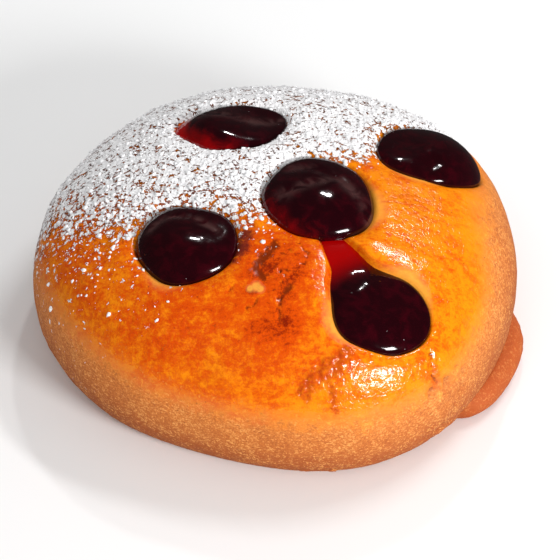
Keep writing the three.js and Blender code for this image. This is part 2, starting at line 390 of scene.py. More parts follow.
def rim_dip(dough, x, y):
    """How far the dough drops to the rims, less its swelling beside them."""
    level = np.ones_like(x)
    smooth = np.ones_like(x)
    for well in WELLS:
        part = well_share(well, x, y)[0]
        gentle = 1 - dough.wall_part
        if well.shoulder is not None:
            off = turn_between(from_well(well, x, y)[0], well.shoulder)
            gentle = gentle * (1 - bell(off, SHOULDER_SPREAD))
        steep = 1 - gentle
        level = level * (1 - gentle * fall(part, dough.slope_end) - steep * fall(part, dough.wall_end))
        smooth = smooth * (1 - bell(part - dough.puff_at, dough.puff_wide))
    return dough.rim_sink * (1 - level) - dough.puff * (1 - smooth) * level


def bowl_depth(dough, oval):
    """Depth of a well below its rim, from the distance to its centre as a share of its oval's reach."""
    return dough.film_depth + (dough.well_depth - dough.film_depth) * np.sqrt(np.maximum(0, 1 - oval ** 2))


def well_bowl(dough, x, y):
    """Depth of the wells below their rims."""
    depth = np.zeros_like(x)
    for well in WELLS:
        part, oval = well_share(well, x, y)
        depth = np.maximum(depth, bowl_depth(dough, oval) * smoothstep(1 - part, 0, WELL_WALL))
    return depth


def spot(x, y, at_x, at_y, radius):
    """1 at a point given in mm, falling off on all sides over a radius in mm."""
    return bell(np.hypot(x - at_x * MM, y - at_y * MM), radius * MM)


def pale_rim(x, y):
    """How far the dough is stretched pale beside the wells."""
    level = np.zeros_like(x)
    for well in WELLS:
        part = well_share(well, x, y)[0]
        angle = from_well(well, x, y)[0]
        for way in well.pale:
            off = turn_between(angle, way)
            width = PALE_WIDTH[0] + PALE_WIDTH[1] * bell(off, PALE_SPREAD[0])
            strength = PALE_LEVEL[0] + PALE_LEVEL[1] * bell(off, PALE_SPREAD[1])
            level = np.maximum(level, bell(part - 1, width) * strength)
    for place in TORN:
        level = np.maximum(level, TORN_LEVEL * spot(x, y, *place))
    return level


def stain_level(x, y):
    """How far thin filling has stained the crust."""
    return np.max([strength * spot(x, y, *place) for *place, strength in STAINED], axis=0)


def toast_and_shade_level(x, y):
    """How dark the egg wash is over plan points, in baked spots and in two spots of painted dent shade."""
    level = TOAST[0] + TOAST[1] * (1 - smoothstep(x, *TOAST_AT))
    return level + sum(strength * spot(x, y, *place) for *place, strength in TOASTED_AND_SHADED)


def wrinkle_level(x, y):
    """How finely the glaze has wrinkled."""
    levels = [bell(chain_distance(strip.points, x, y), strip.width * MM) for strip in WRINKLES]
    return np.max(levels, axis=0)


def glaze_height(dough, angle):
    """Height of the lower edge of the egg wash at an angle round the axis."""
    height = dough.glaze_edge
    for rise, at, wide in GLAZE_SWELLS:
        height = height + rise * MM * bell(turn_between(angle, at), math.radians(wide))
    return height


def chain_distance(points, x, y):
    """Distance of plan points from a chain of points in mm."""
    best = np.full_like(x, np.inf)
    for (ax, ay), (bx, by) in zip(points, points[1:]):
        along = np.array((bx - ax, by - ay)) * MM
        dx = x - ax * MM
        dy = y - ay * MM
        part = np.clip((dx * along[0] + dy * along[1]) / along.dot(along), 0, 1)
        best = np.minimum(best, np.hypot(dx - part * along[0], dy - part * along[1]))
    return best


def inside_outline(outline, x, y):
    """Signed distance of plan points from a closed outline in mm: positive inside."""
    closed = outline + outline[:1]
    inside = np.zeros(x.shape, bool)
    for (ax, ay), (bx, by) in zip(closed, closed[1:]):
        crosses = (ay * MM > y) != (by * MM > y)
        slope = (bx - ax) / (by - ay) if by != ay else 0
        inside ^= crosses & (x < ax * MM + slope * (y - ay * MM))
    return np.where(inside, 1, -1) * chain_distance(closed, x, y)


NOISE_STEPS = (7.3, 3.1, 5.7)  # how far apart the noises of two seeds lie
LOBE_DRIFT = 0.35  # how far the creases between lobes wander, as a share of their size
LOBE_DRIFT_SCALE = 1.3  # how finely they wander
LOBE_STEEPNESS = 2.2  # how soon a lobe reaches its full height


def noise_places(points, size, seed):
    """Points scaled to noise with features of a size in metres, which differs from seed to seed."""
    shift = Vector([seed * step for step in NOISE_STEPS])
    return (Vector(point) / size + shift for point in points)


def fractal(points, size, octaves=3, seed=0):
    """Smooth noise of about -1 to 1 at points, with features of a size in metres."""
    return np.array([noise.fractal(place, 1.0, 2.0, octaves) for place in noise_places(points, size, seed)])


def lobed(points, size, seed=0):
    """0 in the creases between rounded lobes of a size in metres, and up to 1 on top of them."""
    heights = []
    for place in noise_places(points, size, seed):
        wander = noise.noise_vector(place * LOBE_DRIFT_SCALE) * LOBE_DRIFT
        near, far = noise.voronoi(place + wander)[0][:2]
        heights.append(min(1.0, (far - near) * LOBE_STEEPNESS) ** 0.5)
    return np.array(heights)


def drifted(points, size, reach, seed=0):
    """Offsets of up to a reach, which wander over a size in metres."""
    return np.array([noise.noise_vector(place)[:] for place in noise_places(points, size, seed)]) * reach


def sugar_cover(x, y):
    """Share of the crust that sugar hides at plan points. It falls off slowly at the left and the back."""
    fringe = np.interp(x, FRINGE_AT, FRINGE)
    fringe = np.maximum(fringe, BACK_FRINGE * smoothstep(y, *BACK_FRINGE_AT))
    cover = np.interp(inside_outline(DUSTED, x, y) / MM / fringe, COVER_AT, COVER)
    return np.where(nearest_well(x, y) > SUGAR_MARGIN, cover, 0)


# Meshes

def vectors(items, name):
    """A vector of each of a mesh's items, as an array."""
    values = np.empty(len(items) * 3)
    items.foreach_get(name, values)
    return values.reshape(-1, 3)


def move_vertices(mesh, places):
    """Puts the mesh's vertices at new places."""
    mesh.vertices.foreach_set("co", places.astype(np.float32).ravel())
    mesh.update()


def paint(mesh, name, values):
    """Keeps a value for each vertex for the material to read."""
    layer = mesh.attributes.new(name, "FLOAT", "POINT")
    layer.data.foreach_set("value", np.asarray(values, np.float32))


def mesh_from(bm, name):
    """A smooth mesh from a bmesh, which is freed."""
    for face in bm.faces:
        face.smooth = True
    mesh = bpy.data.meshes.new(name)
    bm.to_mesh(mesh)
    bm.free()
    return mesh


def add_piece(mesh, finish, node=None):
    """Adds a finished piece to the scene, riding on the bun's body."""
    mesh.materials.append(finish)
    piece = bpy.data.objects.new(mesh.name, mesh)
    bpy.context.collection.objects.link(piece)
    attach(piece, BODY)
    if node:
        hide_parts(node)
    return piece


# Materials

class Wire:
    """An output of a node. Arithmetic on it adds Math nodes, so that a mask reads as a formula."""

    def __init__(self, finish, socket):
        self.finish = finish
        self.socket = socket

    def __add__(self, other):
        return self.finish.math("ADD", self, other)

    def __sub__(self, other):
        return self.finish.math("SUBTRACT", self, other)

    def __rsub__(self, other):
        return self.finish.math("SUBTRACT", other, self)

    def __mul__(self, other):
        return self.finish.math("MULTIPLY", self, other)

    __radd__ = __add__
    __rmul__ = __mul__

    def most(self, other):
        """The greater of this and another."""
        return self.finish.math("MAXIMUM", self, other)

    def between(self, low, high):
        """0 below low, 1 above high, and smooth between."""
        return self.finish.node(
            "MapRange",
            {"interpolation_type": "SMOOTHSTEP"},
            {"Value": self, "From Min": low, "From Max": high},
        )


class Nodes:
    """The node tree of a material or a world, written as Python expressions."""

    def __init__(self, owner):
        self.owner = owner
        owner.use_nodes = True
        self.tree = owner.node_tree
        self.tree.nodes.clear()

    @staticmethod
    def find(sockets, key):
        """A socket by its index, its identifier or its name."""
        if isinstance(key, int):
            return sockets[key]
        return next(socket for socket in sockets if key in (socket.identifier, socket.name))

    def node(self, kind, settings=None, sockets=None, output=0):
        """Adds a node, sets its settings and then its sockets, and returns one of its outputs."""
        node = self.tree.nodes.new("ShaderNode" + kind)
        for name, value in (settings or {}).items():
            setattr(node, name, value)
        for name, value in (sockets or {}).items():
            socket = self.find(node.inputs, name)
            if isinstance(value, Wire):
                self.tree.links.new(value.socket, socket)
            elif socket.type == "RGBA":
                socket.default_value = (*value, 1)
            else:
                socket.default_value = value
        return Wire(self, self.find(node.outputs, output)) if node.outputs else None

    def math(self, operation, first, second):
        return self.node("Math", {"operation": operation}, {0: first, 1: second})


class Finish(Nodes):
    """A material."""

    def __init__(self, name):
        super().__init__(bpy.data.materials.new(name))
        self.place = self.node("TexCoord", output="Object")

    def blend(self, factor, first, second, mode="MIX"):
        """A colour between two others."""
        settings = {"data_type": "RGBA", "blend_type": mode}
        sockets = {"Factor_Float": factor, "A_Color": first, "B_Color": second}
        return self.node("Mix", settings, sockets, "Result_Color")

    def attribute(self, name):
        """A value that was painted on the piece's vertices."""
        return self.node("Attribute", {"attribute_name": name}, output="Fac")

    def grain(self, size, detail=3.0, roughness=0.5, distortion=0.0, place=None):
        """Noise from 0 to 1 with features of a size in metres."""
        sockets = {"Vector": place or self.place, "Scale": 1 / size, "Detail": detail}
        return self.node("TexNoise", None, {**sockets, "Roughness": roughness, "Distortion": distortion})

    def uneven(self, size, detail=3.0, roughness=0.6, distortion=0.0, place=None):
        """Noise of about -1 to 1 with features of a size in metres."""
        return (self.grain(size, detail, roughness, distortion, place) - 0.5) * 4

    def cells(self, size, feature, place=None, output="Distance"):
        """Distance within cells of a size in metres, or from their borders."""
        sockets = {"Vector": place or self.place, "Scale": 1 / size}
        return self.node("TexVoronoi", {"feature": feature}, sockets, output)

    def warped(self, size, reach):
        """Places carried off by noise, so that a pattern of cells loses its straight lines."""
        drift = self.node("TexNoise", None, {"Vector": self.place, "Scale": 1 / size}, "Color")
        centred = self.node("VectorMath", {"operation": "SUBTRACT"}, {0: drift, 1: (0.5, 0.5, 0.5)})
        sized = self.node("VectorMath", {"operation": "SCALE"}, {0: centred, "Scale": reach})
        return self.node("VectorMath", {"operation": "ADD"}, {0: self.place, 1: sized})

    def streaked(self, turn, along):
        """Places turned about the axis and drawn out, so that a pattern runs in streaks."""
        sockets = {"Vector": self.place, "Rotation": (0, 0, turn), "Scale": (1 / along, 1, 1)}
        return self.node("Mapping", None, sockets)

    def flattened(self, along):
        """Places drawn out level, so that a pattern lies in short dashes on an upright side."""
        return self.node("Mapping", None, {"Vector": self.place, "Scale": (1, 1, along)})

    def bump(self, height, depth):
        """A normal that follows a height of 0 to 1, of a depth in metres."""
        return self.node("Bump", None, {"Height": height, "Distance": depth, "Strength": 1.0})

    def surface(self, sockets):
        """Joins the shader to the material's output."""
        shader = self.node("BsdfPrincipled", None, sockets)
        self.node("OutputMaterial", None, {"Surface": shader})
        return self.owner


# Values painted on the crust, and sizes of its patterns
CRUST_MARKS = ("toast", "rim", "crack", "blister", "dust", "glaze", "lip", "stain", "wrinkle")
PATCH = 7 * MM
MOTTLE = 2.6 * MM
FLECK = 1.0 * MM
SPECK = 0.4 * MM
STREAK = 1.6 * MM
CRUMB = 0.8 * MM
PORE = 2.4 * MM
FLAKE = 2.0 * MM
GRAIN = 0.8 * MM
CREASE = 1.5 * MM
RIPPLE = 1.8 * MM
CRUST_BUMP = 0.13 * MM


def crust_finish(dough):
    """Egg-washed crust: mottled orange on the crown, matte tan on the side, with a film of sugar."""
    skin = Finish("crust")
    toast, rim, crack, blister, dust, rise, lip, stain, wrinkle = map(skin.attribute, CRUST_MARKS)
    patches = skin.uneven(PATCH, 4, 0.6, 0.6)
    mottle = skin.uneven(MOTTLE, 4, 0.6, 0.8)
    flecks = skin.uneven(FLECK, 3, 0.65)
    fine = skin.uneven(SPECK, 2)
    streaks = skin.uneven(STREAK, 3, 0.6, 0.5, skin.streaked(0.5, 4))
    crumbs = skin.uneven(CRUMB, 3, 0.65, 0.6, skin.flattened(1.7))
    pores = (1 - skin.cells(PORE, "F1").between(0.05, 0.12)) * patches.between(-0.3, 0.6)

    # The toast mark holds baked darkening and two spots of painted dent shade
    baked = toast + patches * 0.5 + mottle * 0.6 + streaks * 0.4 + flecks * 0.45 + fine * 0.35
    baked = baked - (1 - rise.between(-3, 11)) * 0.45
    tone = skin.blend(baked.between(-0.4, 1.3), dough.gold, dough.orange)
    tone = skin.blend(baked.between(1.2, 2.4), tone, dough.scorch)
    tone = skin.blend((rim + mottle * 0.2 + fine * 0.12).between(0.25, 1.0) * 0.6, tone, dough.pale)
    low = 0.5 - rise.between(0.0, 14.0) * 0.5
    light = mottle * 0.5 + flecks * 0.4 + fine * 0.3 + low
    tone = skin.blend(light.between(0.5, 1.3) * 0.7, tone, dough.pale)
    tone = skin.blend(blister * (0.7 + flecks * 0.4), tone, dough.blister)
    tone = skin.blend((stain + flecks * 0.2 + fine * 0.1).between(0.2, 0.8) * 0.85, tone, dough.stain)
    # Darker cracks, and painted shade in the creases of the puckers
    tone = skin.blend((crack + flecks * 0.2 + fine * 0.15).between(0.2, 0.9) * 0.95, tone, dough.crack)

    bare = 1 - (rise + mottle * 2 + streaks * 1.2 + flecks * 1.2).between(-3.5, 4.0)
    near_tray = (rise + mottle * 2).between(-15, -2)
    side = skin.blend(near_tray, dough.brown, dough.tan)
    rough = crumbs * 1.4 + fine * 1.0 + mottle * 0.4 + patches * 0.4
    side = skin.blend(rough.between(0.0, 1.2) * 0.75, side, dough.crumb)
    side = skin.blend((0 - rough).between(0.0, 1.2) * 0.75, side, dough.brown)
    side = skin.blend(lip * 0.6, side, dough.lip)
    tone = skin.blend(bare, tone, side)
    tone = skin.blend(pores * 0.6, tone, dough.crack)
    flakes = skin.cells(FLAKE, "DISTANCE_TO_EDGE", skin.warped(0.9 * MM, 0.9 * MM))
    sifted = dust * 0.85 + flakes * 1.3 + flecks * 0.3 + fine * 0.22 + mottle * 0.32
    film = sifted.between(0.69, 0.76) * dust.between(0.0, 0.03)
    # Painted shade: the crust turns dark in the gaps between sugar flakes, the more so where the sugar is
    # dense
    tone = skin.blend((dust + mottle * 0.3).between(0.3, 0.9) * 0.92, tone, dough.shadow)
    # Painted shade between the sugar's grains: the film turns grey towards the edges of small cells
    grains = skin.cells(GRAIN, "F1", skin.warped(0.5 * MM, 0.4 * MM)).between(0.3, 0.75)
    tone = skin.blend(film, tone, skin.blend(grains * 0.2, dough.powder, dough.shaded_powder))

    creased = skin.cells(CREASE, "DISTANCE_TO_EDGE", skin.warped(1.3 * MM, 1.3 * MM)).between(0.0, 0.14)
    wet = crack.most(blister).most(stain)
    glazed = (1 - bare) * (1 - film) * (0.3 + rise.between(-2.0, 7.0) * 0.7) * (1 - rim.between(0.0, 0.7))
    ripples = skin.uneven(RIPPLE, 1)
    ripple = 0.34 - rise.between(12, 24) * 0.27 + wrinkle * 0.07
    crease = 0.22 - rise.between(12, 24) * 0.14
    height = (creased * crease + ripples * ripple) * glazed + flecks * 0.05
    height = height + fine * (0.02 + bare * 0.19 + crack * 0.15) + crumbs * bare * 0.3
    height = height + film * (1.5 - grains)
    return skin.surface({
        "Base Color": tone,
        "Roughness": 0.75 - glazed * 0.62 + flecks * 0.03 - wet * 0.04,
        "Specular IOR Level": 0.5,
        "Normal": skin.bump(height, CRUST_BUMP),
    })


def filling_finish(filling):
    """Wet cherry filling: nearly black where it is thick and red where it is thin, with painted glow and
    sheen.
    """
    jelly = Finish("cherry_filling")
    thin = jelly.attribute("thin")
    glow = jelly.attribute("glow")
    fold = jelly.attribute("fold")
    fruit = jelly.grain(3.2 * MM, 3, 0.55, 0.6)
    tone = jelly.blend(fruit.between(0.42, 0.72), filling.deep, filling.fruit)
    # Painted glow of light coming through the filling, by the glow mark
    tone = jelly.blend((glow + (fruit - 0.5) * 0.6).between(0.2, 1.0) * 0.7, tone, filling.red)
    tone = jelly.blend(thin, tone, filling.red)
    smeared = jelly.grain(5 * MM, 2, 0.5, 1.0)
    # Folds painted grey: wrinkled skin and a painted soft reflection
    tone = jelly.blend(fold * smeared.between(0.35, 0.65) * 0.5, tone, filling.skin)
    ripple = jelly.grain(2.4 * MM, 2)
    bubbles = 1 - jelly.cells(3.2 * MM, "F1").between(0.0, 0.1)
    return jelly.surface({
        "Base Color": tone,
        "Roughness": 0.07 + fruit * 0.04,
        "IOR": 1.45,
        "Normal": jelly.bump(ripple * 0.25 + bubbles * 0.6, 0.15 * MM),
    })


def sugar_finish(sugar):
    """Matte white powder, a little uneven in tone."""
    powder = Finish("sugar")
    grain = powder.grain(0.25 * MM, 3)
    shade = tuple(level * 0.9 for level in sugar.white)
    return powder.surface({
        "Base Color": powder.blend(grain, shade, sugar.white),
        "Roughness": 0.9,
        "Specular IOR Level": 0.2,
        "Normal": powder.bump(grain, 0.08 * MM),
    })


def floor_finish(stage):
    """Pale plain floor."""
    plain = Finish("floor")
    grain = plain.grain(0.4, 2)
    shade = tuple(level * 0.98 for level in stage.floor)
    return plain.surface({"Base Color": plain.blend(grain, shade, stage.floor), "Roughness": 0.8})


# Crust

CRUST_SEGMENTS = 480
CRUST_RINGS = 200
NOISE_SEED = 11  # of the noise by which cracks and the creases between lobes wander
FRONT = -math.pi / 2
FRONT_FINENESS = 0.4  # how much closer than on average the segments lie at the front
FOOT_RINGS = 0.05  # share of the rings under the foot
LOW_RINGS = 0.15  # share of the rings on the low side, where the lip is
SIDE_SAMPLES = 60  # points that measure the side above the lip
CROWN_SAMPLES = 600  # points that measure the crown
LIP_EDGE = (0.2, 0.6)  # where the lip's round edge starts and ends, as shares of its rings
LIP_BLEND = (-1.0 * MM, 2.0 * MM)  # how far the lip stands out where it starts, and where it is whole
CREVICE_DROP = 0.4  # how far the lip's top drops under the bun, as a share of how far it runs in
LOW_DUST_AT = (2 * MM, 20 * MM)  # heights between which more and more sugar stays on the side
LOW_DUST = (0.3, 1)  # share of the sugar that stays there


def side_turn(dough, height):
    """Angle on the arc of the side below the girth, at a height."""
    return math.asin(1 - height / dough.girth_height)


def side_arc(dough, angle):
    """Share of the girth and height on that arc, where 90 degrees is the foot's edge."""
    part = dough.foot_share + (1 - dough.foot_share) * np.cos(angle)
    return part, dough.girth_height * (1 - np.sin(angle))


def upper_arc(dough, part):
    """Share of the girth and height from the lip's level, at 0, to the top of the crown, at 1."""
    lip_turn = side_turn(dough, dough.lip_thickness)
    side = side_arc(dough, np.linspace(lip_turn, 0, SIDE_SAMPLES, endpoint=False))
    turn = np.linspace(0, math.pi / 2, CROWN_SAMPLES)
    power = 2 / dough.crown_power
    rise = dough.height - dough.girth_height
    crown = np.cos(turn) ** power, dough.girth_height + rise * np.sin(turn) ** power
    across = np.concatenate((side[0], crown[0]))
    height = np.concatenate((side[1], crown[1]))
    steps = np.hypot(np.diff(across * dough.girth_radius), np.diff(height))
    run = np.concatenate(((0,), np.cumsum(steps)))
    run = run / run[-1]
    return np.interp(part, run, across), np.interp(part, run, height)


def lip_reach(dough, angle):
    """How far the lip reaches from the axis at an angle."""
    lobes = (
        reach * MM * np.exp(-(np.abs(turn_between(angle, at) / math.radians(spread)) ** power))
        for reach, at, spread, power in LIP_LOBES
    )
    return dough.lip_base + sum(lobes)


def lip_arc(dough, angle, part):
    """Radius and height on the lip: out along the tray, round the edge and back in along its top."""
    radius = girth(dough, angle)
    half = dough.lip_thickness / 2
    base = dough.foot_share * radius
    reach = np.maximum(lip_reach(dough, angle) - half, base)
    crevice = side_arc(dough, side_turn(dough, dough.lip_thickness))[0] * radius - dough.crevice
    turn = np.interp(part, LIP_EDGE, (-math.pi / 2, math.pi / 2))
    out = np.interp(part, (0, LIP_EDGE[0]), (0, 1))
    back = np.interp(part, (LIP_EDGE[1], 1), (0, 1))
    across = base + (reach - base) * out + half * np.cos(turn) * (out >= 1) * (back <= 0)
    across = across + (crevice - across) * back
    return across, half * (1 + np.sin(turn)) - dough.crevice * CREVICE_DROP * back ** 2


def bun_places(dough, sphere):
    """Places of the bun's vertices from those of a sphere, and how far each belongs to the lip."""
    turn = np.arctan2(sphere[:, 1], sphere[:, 0])
    angle = turn - FRONT_FINENESS * np.sin(turn - FRONT)
    ring = np.arctan2(sphere[:, 2], np.hypot(sphere[:, 0], sphere[:, 1])) / math.pi + 0.5
    foot = np.clip(ring / FOOT_RINGS, 0, 1)
    low = np.clip((ring - FOOT_RINGS) / LOW_RINGS, 0, 1)
    high = np.clip((ring - FOOT_RINGS - LOW_RINGS) / (1 - FOOT_RINGS - LOW_RINGS), 0, 1)
    lip_turn = side_turn(dough, dough.lip_thickness)
    low_share, low_height = side_arc(dough, math.pi / 2 + (lip_turn - math.pi / 2) * low)
    high_share, high_height = upper_arc(dough, high)
    part = np.where(high > 0, high_share, np.where(low > 0, low_share, dough.foot_share * foot))
    height = np.where(high > 0, high_height, np.where(low > 0, low_height, 0))
    radius = girth(dough, angle)
    across = part * radius
    middle = side_arc(dough, side_turn(dough, dough.lip_thickness / 2))[0] * radius
    stands_out = smoothstep(lip_reach(dough, angle) - middle, *LIP_BLEND)
    lip_across, lip_height = lip_arc(dough, angle, low)
    lip = np.where((low > 0) & (high <= 0), stands_out, 0)
    across = across + (lip_across - across) * lip
    height = height + (lip_height - height) * lip
    return np.column_stack((across * np.cos(angle), across * np.sin(angle), height)), lip


def sink_wells(dough, places):
    """Lowers the crown at the wells and their rims."""
    x, y, z = places.T
    crown = z > dough.girth_height
    return np.column_stack((x, y, z - np.where(crown, rim_dip(dough, x, y) + well_bowl(dough, x, y), 0)))


# Unevenness of the skin: size and height in mm, octaves and seed of its noise
Rough = namedtuple("Rough", "size height octaves seed")
SWELLS = Rough(13, 0.3, 2, 1)
BUMPS = Rough(4, 0.06, 3, 2)
SIDE_CRUMBS = Rough(1.6, 0.12, 3, 3)
BLISTER_OUTLINE = Rough(1.5, 0.8, 2, 8)
SIDE_END = (4 * MM, 16 * MM)  # heights between which the crumbs of the side die out
RELIEF_START = (0.5 * MM, 5 * MM)  # heights between which all relief starts above the tray
DRY_START = (0.98, 1.1)  # where it starts beside a well, as shares of the filling's reach
ROLL_CALM = 0.8  # share of the relief that a roll takes away
ROLL_CALM_REACH = 2  # how far it does, in its half widths

# Lobes of puckers: size in mm, weight and seed
PUCKER_LOBES = ((4.5, 0.8, 6), (2.0, 0.2, 7))

# How cracks wander: over a size and by a reach in mm, and seed
CRACK_DRIFTS = ((3, 1.2, 4), (1.1, 0.5, 5))

# Size, octaves and seed of the noises that break up cracks
GAPS = (2.2 * MM, 2, 5)
NOTCHES = (1.1 * MM, 2, 10)


def roughened(places, rough):
    """Heights of an unevenness at places."""
    return fractal(places, rough.size * MM, rough.octaves, rough.seed) * rough.height * MM


def add_pucker(zone, places, relief, dark, level=0.6, end=1.6, depth=0.5, spread=(0.85, 0.8), darkest=0.75):
    """Raises the lobes of a pucker about a level, and paints shade into the creases between them down to a
    depth.
    """
    x, y, _ = places.T
    away = np.hypot((x - zone.x * MM) / (zone.wide * MM), (y - zone.y * MM) / (zone.deep * MM))
    near = away < end
    away = away[near]
    lobes = sum(lobed(places[near], size * MM, seed) * weight for size, weight, seed in PUCKER_LOBES) - level
    relief[near] += zone.height * MM * bell(away, spread[0]) * lobes
    # Painted shade in the creases between the lobes
    creases = darkest * bell(away, spread[1]) * smoothstep(-lobes, 0, depth)
    dark[near] = np.maximum(dark[near], creases)


def add_blister(strip, places, relief, blistered, end=3, edge=(0.5, 1.2), size=2.2, height=1.0, seed=9):
    """Raises lobes on a strip of blistered skin, which ends at an edge given in its half widths."""
    away = chain_distance(strip.points, *places.T[:2]) / MM
    near = away < end * strip.width
    away = away[near] + roughened(places[near], BLISTER_OUTLINE) / MM
    level = 1 - smoothstep(away / strip.width, *edge)
    relief[near] += level * (lobed(places[near], size * MM, seed) - 0.5) * height * MM
    blistered[near] = np.maximum(blistered[near], level)


def add_crack(crack, places, relief, dark, end=4 * MM, flare=2.2 * MM, gaps=(-0.1, 0.6), notches=(-1, -0.1)):
    """Cuts a dark groove that wanders, with gaps where it is narrow and notches all along."""
    near = chain_distance(crack.points, *places.T[:2]) < end
    places = places[near]
    drift = sum(drifted(places, size * MM, reach * MM, seed) for size, reach, seed in CRACK_DRIFTS)
    away = chain_distance(crack.points, *(places + drift).T[:2])
    groove = bell(away, crack.width * MM * (1 + drift[:, 2] / flare))
    groove *= smoothstep(fractal(places, *GAPS) + crack.width, *gaps)
    groove *= smoothstep(fractal(places, *NOTCHES), *notches)
    relief[near] -= groove * crack.depth * MM
    dark[near] = np.maximum(dark[near], groove * crack.dark)


def skin_relief(places):
    """Per vertex: how far the skin stands out, how dark cracks and painted crease shade are, how blistered.
    """
    x, y, z = places.T
    relief = roughened(places, SWELLS) + roughened(places, BUMPS)
    relief += (1 - smoothstep(z, *SIDE_END)) * roughened(places, SIDE_CRUMBS)
    dark = np.zeros_like(x)
    blistered = np.zeros_like(x)
    for zone in PUCKERS:
        add_pucker(zone, places, relief, dark)
    for roll in ROLLS:
        away = chain_distance(roll.points, x, y) / (roll.width * MM)
        relief = relief * (1 - ROLL_CALM * bell(away, ROLL_CALM_REACH)) + roll.height * MM * bell(away, 1)
    for strip in BLISTERS:
        add_blister(strip, places, relief, blistered)
    for crack in CRACKS:
        add_crack(crack, places, relief, dark)
    dry = smoothstep(nearest_well(x, y), *DRY_START)
    return relief * dry * smoothstep(z, *RELIEF_START), dark * dry, blistered * dry


class BRIOCHE_OT_dough(bpy.types.Operator):
    """Model the baked dough with its wells, cracks and lip"""

    bl_idname = "brioche.dough"
    bl_label = "Baked dough"

    def execute(self, context):
        dough = context.scene.brioche_dough
        noise.seed_set(NOISE_SEED)
        bm = bmesh.new()
        bmesh.ops.create_uvsphere(bm, u_segments=CRUST_SEGMENTS, v_segments=CRUST_RINGS, radius=1)
        mesh = mesh_from(bm, "brioche_dough")
        bun, lip = bun_places(dough, vectors(mesh.vertices, "co"))
        places = sink_wells(dough, bun)
        move_vertices(mesh, places)
        relief, dark, blistered = skin_relief(places)
        places = places + vectors(mesh.vertex_normals, "vector") * relief[:, None]
        move_vertices(mesh, places)
        x, y, z = places.T
        paint(mesh, "toast", toast_and_shade_level(x, y))
        paint(mesh, "rim", pale_rim(x, y))
        # The crack mark also carries the painted shade in the creases of the puckers
        paint(mesh, "crack", dark)
        paint(mesh, "blister", blistered)
        paint(mesh, "wrinkle", wrinkle_level(x, y))
        paint(mesh, "dust", sugar_cover(x, y) * np.interp(z, LOW_DUST_AT, LOW_DUST))
        paint(mesh, "glaze", (z - glaze_height(dough, np.arctan2(y, x))) / MM)
        paint(mesh, "lip", lip)
        paint(mesh, "stain", stain_level(x, y))
        add_piece(mesh, crust_finish(dough), "brioche")
        return {"FINISHED"}


# Filling

FILLING_DETAIL = 6  # steps of subdivision of the sphere that a filling starts from
FILM_START = 0.5  # where a tail's film starts to thin, as a share of the oval's reach
FILM_END = 1.5  # where it is as thin as it gets
FILM_EDGE = 0.35  # roundness of the film's edge: less is flatter
LUMP_SIZE = 6 * MM  # of the fruit in the filling
FOLD_FADE = 0.5  # how soon a fold ends towards the filling's edge: less is later
GLOW_WAY = (-0.75, -0.66)  # plan direction of the filling's edges where a glow of light coming through is painted
GLOW_AT = (0.5, 1.0)  # where the painted glow starts and is full, as shares of the filling's reach


def filling_places(dough, filling, well, sphere):
    """Places of a filling's vertices from those of a sphere, with its thinness, glow and folds."""
    angle = np.arctan2(sphere[:, 1], sphere[:, 0])
    part = np.hypot(sphere[:, 0], sphere[:, 1])
    away = part * (well_reach(well, angle) + filling.overlap)
    x = well.x * MM + away * np.cos(angle)
    y = well.y * MM + away * np.sin(angle)
    film = np.zeros_like(x)
    thin = np.zeros_like(x)
    if well.tail:
        along = away * np.cos(turn_between(angle, well.tail.angle))
        start = oval_reach(well, math.radians(well.tail.angle))
        film = smoothstep(along, FILM_START * start, FILM_END * start)
        thin = smoothstep(along, well.tail.dark_end * MM, well.tail.red_start * MM)
    up = np.maximum(sphere[:, 2], 0)
    down = np.maximum(-sphere[:, 2], 0)
    slope = crown_height(dough, np.array(well.x * MM), np.array(well.y * MM)) - crown_height(dough, x, y)
    rim = crown_height(dough, x, y) - dough.rim_sink + (filling.bulge + filling.tilt * slope) * (1 - film)
    lean = well.lean[0] * (x - well.x * MM) + well.lean[1] * (y - well.y * MM)
    crown = well.crown * MM * up ** well.edge + (well.level * slope + lean) * up ** 2
    flat = np.column_stack((x, y, np.zeros_like(x)))
    crown += fractal(flat, LUMP_SIZE, 2, well.turn) * filling.lumps * up
    fold_skin_and_sheen = np.zeros_like(x)
    for fold in FOLDS:
        if fold.node == well.node:
            level = bell(chain_distance(fold.points, x, y), fold.width * MM) * (sphere[:, 2] > 0)
            # Where grey of wrinkled skin and painted reflection goes on the fold
            fold_skin_and_sheen = np.maximum(fold_skin_and_sheen, level * fold.skin)
            crown -= fold.depth * MM * level * up ** FOLD_FADE
    rise = crown + (filling.film * up ** FILM_EDGE - crown) * film
    bowl = bowl_depth(dough, away / (oval_reach(well, angle) + filling.overlap))
    # Painted glow: the edges that face away from the back lights are painted red, as though lit through
    facing = np.maximum(0, np.cos(angle) * GLOW_WAY[0] + np.sin(angle) * GLOW_WAY[1])
    glow = smoothstep(part, *GLOW_AT) * facing * well.glow
    return np.column_stack((x, y, rim + rise - bowl * down)), thin, glow, fold_skin_and_sheen


class BRIOCHE_OT_filling(bpy.types.Operator):
    """Model the cherry filling of each well"""

    bl_idname = "brioche.filling"
    bl_label = "Cherry filling"

    def execute(self, context):
        dough = context.scene.brioche_dough
        filling = context.scene.brioche_filling
        finish = filling_finish(filling)
        for well in WELLS:
            bm = bmesh.new()
            bmesh.ops.create_icosphere(bm, subdivisions=FILLING_DETAIL, radius=1)
            mesh = mesh_from(bm, well.node.replace("filling", "jelly"))
            sphere = vectors(mesh.vertices, "co")
            places, thin, glow, fold_skin_and_sheen = filling_places(dough, filling, well, sphere)
            move_vertices(mesh, places)
            paint(mesh, "thin", thin)
            paint(mesh, "glow", glow)
            paint(mesh, "fold", fold_skin_and_sheen)
            add_piece(mesh, finish, well.node)
        return {"FINISHED"}


# Sugar

